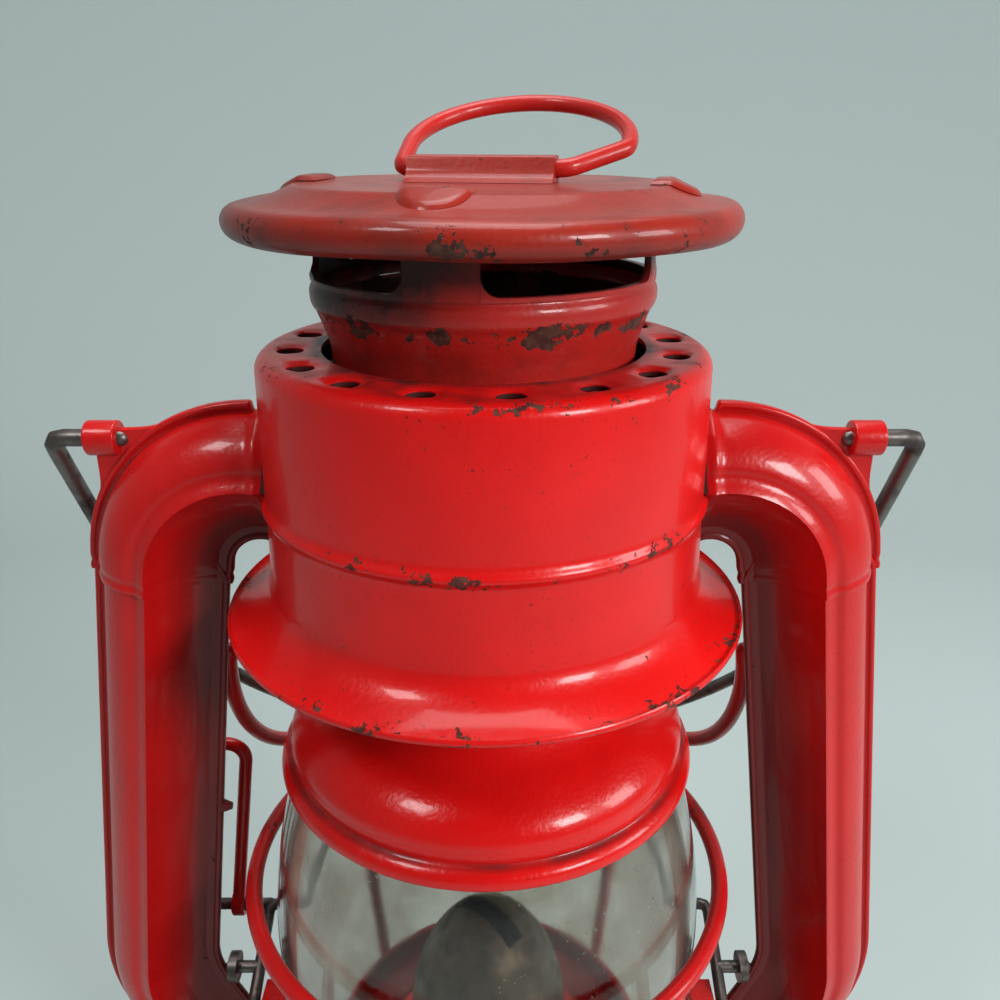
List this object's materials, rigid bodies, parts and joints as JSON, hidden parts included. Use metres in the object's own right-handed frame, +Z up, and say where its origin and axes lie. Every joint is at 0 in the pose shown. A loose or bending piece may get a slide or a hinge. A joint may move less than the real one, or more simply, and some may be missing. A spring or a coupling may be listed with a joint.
{
  "type": "hurricane lantern",
  "caption": "Red tubular hurricane lantern with a glass globe, wire guards, a lever that lifts the globe, a sprung chimney with a lift ring, a wick burner and a carrying bail.",
  "frame": {"origin": "centre of the tank's foot, on the surface it stands on", "axes": "+Z up along the lantern's axis, +X towards the right side tube, -Y towards the viewer"},
  "size_m": [0.152, 0.1166, 0.2594],
  "materials": {
    "tank_paint": "worn gloss",
    "drum_paint": "worn gloss with small chips",
    "chimney_paint": "gloss darkened by soot",
    "cap_paint": "chipped gloss with a worn rim",
    "tube_paint": "worn gloss",
    "dark_wire": "tarnished",
    "tin_plate": "dull tin plate",
    "brass": "dull",
    "globe_glass": "clear",
    "cork": "pressed cork",
    "wick_cotton": "woven cotton"
  },
  "bodies": {
    "frame": {"tank_bottom": "tank_paint", "tank_top": "tank_paint", "tank_seam_band": "tank_paint", "tank_baffle": "tin_plate", "filler_neck": "tin_plate", "burner_collar": "brass", "burner_base": "tin_plate", "burner_cone": "tin_plate", "wick_tube": "brass", "left_side_tube_front": "tube_paint", "left_side_tube_back": "tube_paint", "right_side_tube_front": "tube_paint", "right_side_tube_back": "tube_paint", "left_elbow_front": "tube_paint", "left_elbow_back": "tube_paint", "right_elbow_front": "tube_paint", "right_elbow_back": "tube_paint", "left_bail_ear": "tube_paint", "right_bail_ear": "tube_paint", "air_chamber_drum": "drum_paint", "air_chamber_floor": "tube_paint", "chimney_spring": "tin_plate", "back_guard_wire": "tube_paint", "lever_lugs": "dark_wire", "lever_catch": "tube_paint"},
    "lever": {"lever_wire": "dark_wire"},
    "thumb_loop": {"thumb_loop": "drum_paint"},
    "globe_carrier": {"globe": "globe_glass", "globe_seat": "tube_paint", "lift_brackets": "tube_paint", "guard_ring": "drum_paint"},
    "chimney": {"chimney_tube": "chimney_paint", "globe_plate": "drum_paint", "chimney_cap": "cap_paint", "ring_sleeve": "cap_paint", "spring_stop": "tin_plate"},
    "lift_ring": {"lift_ring": "drum_paint"},
    "bail": {"bail": "dark_wire"},
    "wick_drive": {"wick_spindle": "tin_plate", "spur_wheels": "tin_plate", "wick_knob": "tin_plate"},
    "wick": {"wick": "wick_cotton"},
    "filler_gasket": {"filler_gasket": "cork"},
    "filler_cap": {"filler_cap": "tank_paint"}
  },
  "joints": [
    {"name": "lever_press", "type": "hinge", "parent": "frame", "child": "lever", "pos_m": [0, 0, 0.09597], "axis": [-1, 0, 0], "range_deg": [0, 48]},
    {"name": "globe_lift", "type": "slide", "parent": "frame", "child": "globe_carrier", "axis": [0, 0, 1], "range_m": [0, 0.01016], "deforming": ["chimney_spring"]},
    {"name": "thumb_loop_press", "type": "slide", "parent": "frame", "child": "thumb_loop", "axis": [0, 0, -1], "range_m": [0, 0.0102]},
    {"name": "chimney_lift", "type": "slide", "parent": "globe_carrier", "child": "chimney", "axis": [0, 0, 1], "range_m": [0, 0.0098], "stiffness_N_per_m": 60, "springref_m": -0.02, "deforming": ["chimney_spring"]},
    {"name": "ring_swing", "type": "hinge", "parent": "chimney", "child": "lift_ring", "pos_m": [0, 0, 0.2492], "axis": [0.9799, -0.1994, 0], "range_deg": [-17, 140]},
    {"name": "bail_swing", "type": "hinge", "parent": "frame", "child": "bail", "pos_m": [0, 0, 0.20926], "axis": [1, 0, 0], "range_deg": [0, 300]},
    {"name": "wick_knob_turn", "type": "hinge", "parent": "frame", "child": "wick_drive", "pos_m": [0.00385, 0.00427, 0.06205], "axis": [-0.7431, 0.6691, 0], "range_deg": [-76, 76]},
    {"name": "wick_raise", "type": "slide", "parent": "frame", "child": "wick", "axis": [0, 0, 1], "range_m": [-0.006, 0.006]},
    {"name": "filler_cap_rise", "type": "slide", "parent": "frame", "child": "filler_gasket", "axis": [0, 0, 1], "range_m": [0, 0.0041]},
    {"name": "filler_cap_turn", "type": "hinge", "parent": "filler_gasket", "child": "filler_cap", "pos_m": [-0.02687, -0.02687, 0.0563], "axis": [0, 0, 1], "range_deg": [0, 720]}
  ],
  "couplings": [
    {"joint": "lever_press", "follows": "globe_lift", "rad_per_m": 82.388},
    {"joint": "thumb_loop_press", "follows": "globe_lift", "ratio": 1},
    {"joint": "wick_raise", "follows": "wick_knob_turn", "m_per_rad": 0.0045},
    {"joint": "filler_cap_rise", "follows": "filler_cap_turn", "m_per_rad": 0.00031831}
  ]
}
